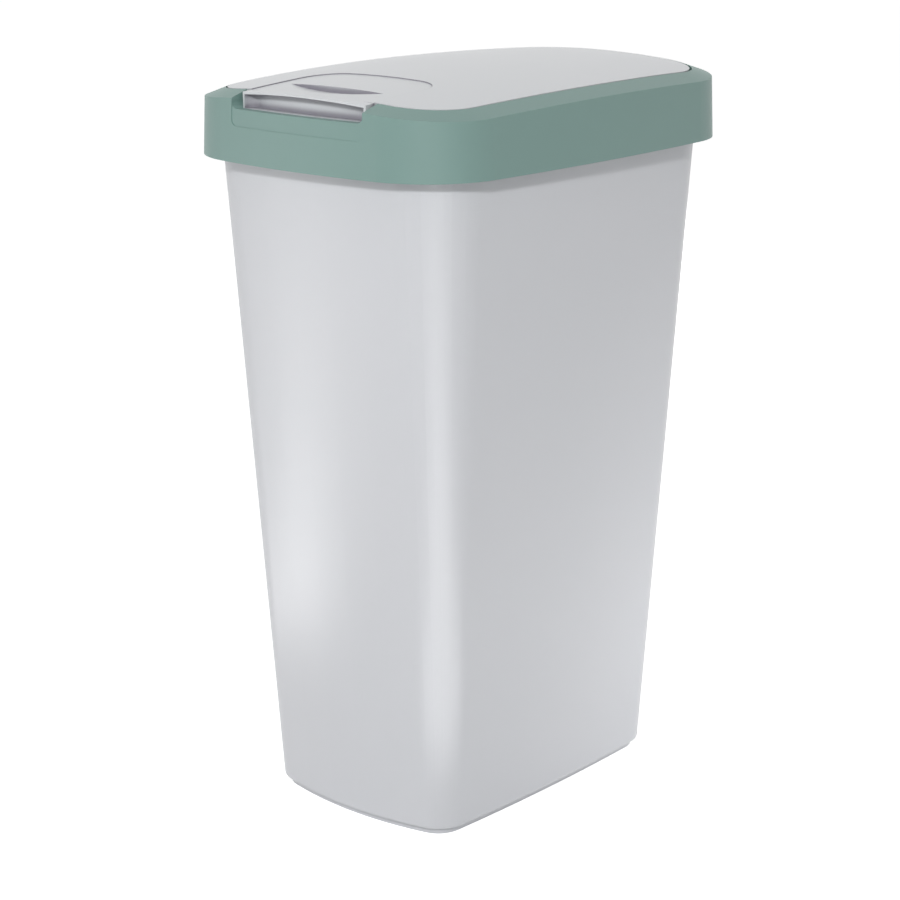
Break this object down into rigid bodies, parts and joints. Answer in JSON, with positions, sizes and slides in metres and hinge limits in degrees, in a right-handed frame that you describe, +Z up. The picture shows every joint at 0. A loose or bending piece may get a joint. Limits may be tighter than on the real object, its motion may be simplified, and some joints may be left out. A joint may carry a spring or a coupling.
{
  "type": "lidded trash can",
  "caption": "Tall tapered kitchen bin: a bucket, a lift-off rim frame and a domed flap lid hinged at the back, opened by a finger notch in front.",
  "frame": {"origin": "centre of the foot, on the floor", "axes": "+Z up, -Y towards the front with the finger notch, +X to the right seen from the front"},
  "size_m": [0.288, 0.393, 0.6],
  "materials": {
    "bucket_plastic": "moulded polypropylene, light grey, fine satin",
    "frame_plastic": "moulded polypropylene, sage green, fine satin",
    "lid_plastic": "moulded polypropylene, light grey, satin",
    "pin_plastic": "moulded acetal, natural"
  },
  "bodies": {
    "bucket": {"bucket": "bucket_plastic"},
    "rim_frame": {"rim_frame": "frame_plastic"},
    "lid": {"lid": "lid_plastic", "hinge_pin_left": "pin_plastic", "hinge_pin_right": "pin_plastic"}
  },
  "joints": [
    {"name": "frame_lift", "type": "slide", "parent": "bucket", "child": "rim_frame", "axis": [0, 0, 1], "range_m": [0, 0.08]},
    {"name": "lid_hinge", "type": "hinge", "parent": "rim_frame", "child": "lid", "pos_m": [0, 0.122, 0.583], "axis": [-1, 0, 0], "range_deg": [0, 95]}
  ]
}
